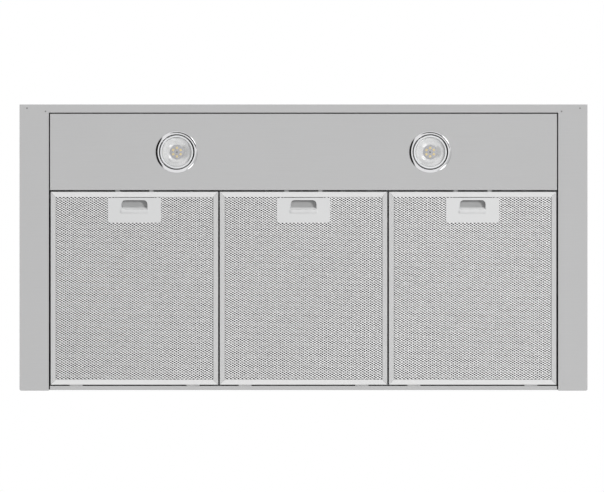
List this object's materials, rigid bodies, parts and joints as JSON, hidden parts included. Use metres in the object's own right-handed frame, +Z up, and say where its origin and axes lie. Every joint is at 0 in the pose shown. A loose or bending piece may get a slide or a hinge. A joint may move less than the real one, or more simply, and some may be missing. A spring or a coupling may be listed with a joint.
{
  "type": "range hood insert",
  "caption": "Stainless range hood insert with lift-out mesh grease filters on spring latches, round lamps, a centrifugal blower in its box and a round duct collar with back-draught flaps.",
  "frame": {"origin": "middle of the footprint, at the level of the underside strips", "axes": "+X to the right seen from the front, -Y towards the cook, +Z up towards the duct"},
  "size_m": [0.8774, 0.44, 0.303],
  "materials": {
    "brushed_steel": "fine satin stainless sheet",
    "galvanised": "galvanised sheet",
    "chrome": "polished",
    "lens_glass": "clear, lightly frosted",
    "cast_aluminium": "cast",
    "light_board": "matt white",
    "spring_steel": "spring strip",
    "white_plastic": "moulded",
    "filter_aluminium": "bright rolled aluminium",
    "latch_plastic": "silver grey, satin",
    "motor_paint": "black enamel",
    "shaft_steel": "ground steel",
    "circuit_board": "solder resist",
    "zinc_screw": "zinc plated"
  },
  "bodies": {
    "hood": {"outer_shell": "brushed_steel", "rear_panel": "brushed_steel", "lamp_panel": "brushed_steel", "top_panel": "galvanised", "left_chamber_wall": "galvanised", "right_chamber_wall": "galvanised", "lamp_wall": "galvanised", "motor_box": "galvanised", "scroll_wrap": "galvanised", "left_scroll_side": "galvanised", "right_scroll_side": "galvanised", "motor_bracket": "galvanised", "duct_collar": "galvanised", "junction_box": "galvanised", "junction_box_cover": "galvanised", "collar_flange": "galvanised", "left_lamp_bezel": "chrome", "right_lamp_bezel": "chrome", "left_lamp_lens": "lens_glass", "right_lamp_lens": "lens_glass", "left_lamp_heat_sink": "cast_aluminium", "right_lamp_heat_sink": "cast_aluminium", "left_lamp_board": "light_board", "right_lamp_board": "light_board", "left_lamp_clips": "spring_steel", "right_lamp_clips": "spring_steel", "lamp_driver": "white_plastic", "capacitor": "white_plastic", "terminal_block": "white_plastic", "motor": "motor_paint", "damper_pin": "shaft_steel", "control_board": "circuit_board", "motor_box_screws": "zinc_screw", "collar_screws": "zinc_screw", "cover_screws": "zinc_screw", "shell_screws": "zinc_screw", "corner_rivets": "zinc_screw"},
    "left_filter": {"left_filter_frame": "filter_aluminium", "left_filter_net": "filter_aluminium", "left_grease_layer": "filter_aluminium", "left_latch_plate": "latch_plastic", "left_latch_spring": "spring_steel"},
    "left_latch": {"left_latch_slide": "latch_plastic"},
    "middle_filter": {"middle_filter_frame": "filter_aluminium", "middle_filter_net": "filter_aluminium", "middle_grease_layer": "filter_aluminium", "middle_latch_plate": "latch_plastic", "middle_latch_spring": "spring_steel"},
    "middle_latch": {"middle_latch_slide": "latch_plastic"},
    "right_filter": {"right_filter_frame": "filter_aluminium", "right_filter_net": "filter_aluminium", "right_grease_layer": "filter_aluminium", "right_latch_plate": "latch_plastic", "right_latch_spring": "spring_steel"},
    "right_latch": {"right_latch_slide": "latch_plastic"},
    "blower_wheel": {"impeller": "galvanised", "motor_shaft": "shaft_steel"},
    "front_flap": {"front_damper_flap": "galvanised"},
    "rear_flap": {"rear_damper_flap": "galvanised"}
  },
  "joints": [
    {"name": "left_filter_swing", "type": "hinge", "parent": "hood", "child": "left_filter", "pos_m": [-0.26, 0.2126, 0.001], "axis": [1, 0, 0], "range_deg": [0, 60]},
    {"name": "left_latch_slide", "type": "slide", "parent": "left_filter", "child": "left_latch", "axis": [0, 1, 0], "range_m": [0, 0.0045], "stiffness_N_per_m": 400, "springref_m": -0.003, "deforming": ["left_latch_spring"]},
    {"name": "middle_filter_swing", "type": "hinge", "parent": "hood", "child": "middle_filter", "pos_m": [0, 0.2126, 0.001], "axis": [1, 0, 0], "range_deg": [0, 60]},
    {"name": "middle_latch_slide", "type": "slide", "parent": "middle_filter", "child": "middle_latch", "axis": [0, 1, 0], "range_m": [0, 0.0045], "stiffness_N_per_m": 400, "springref_m": -0.003, "deforming": ["middle_latch_spring"]},
    {"name": "right_filter_swing", "type": "hinge", "parent": "hood", "child": "right_filter", "pos_m": [0.26, 0.2126, 0.001], "axis": [1, 0, 0], "range_deg": [0, 60]},
    {"name": "right_latch_slide", "type": "slide", "parent": "right_filter", "child": "right_latch", "axis": [0, 1, 0], "range_m": [0, 0.0045], "stiffness_N_per_m": 400, "springref_m": -0.003, "deforming": ["right_latch_spring"]},
    {"name": "blower_wheel_spin", "type": "hinge", "parent": "hood", "child": "blower_wheel", "pos_m": [0, 0.06868, 0.16], "axis": [1, 0, 0], "continuous": true},
    {"name": "front_flap_swing", "type": "hinge", "parent": "hood", "child": "front_flap", "pos_m": [0, 0.011, 0.276], "axis": [-1, 0, 0], "range_deg": [0, 75]},
    {"name": "rear_flap_swing", "type": "hinge", "parent": "hood", "child": "rear_flap", "pos_m": [0, 0.011, 0.276], "axis": [1, 0, 0], "range_deg": [0, 75]}
  ]
}
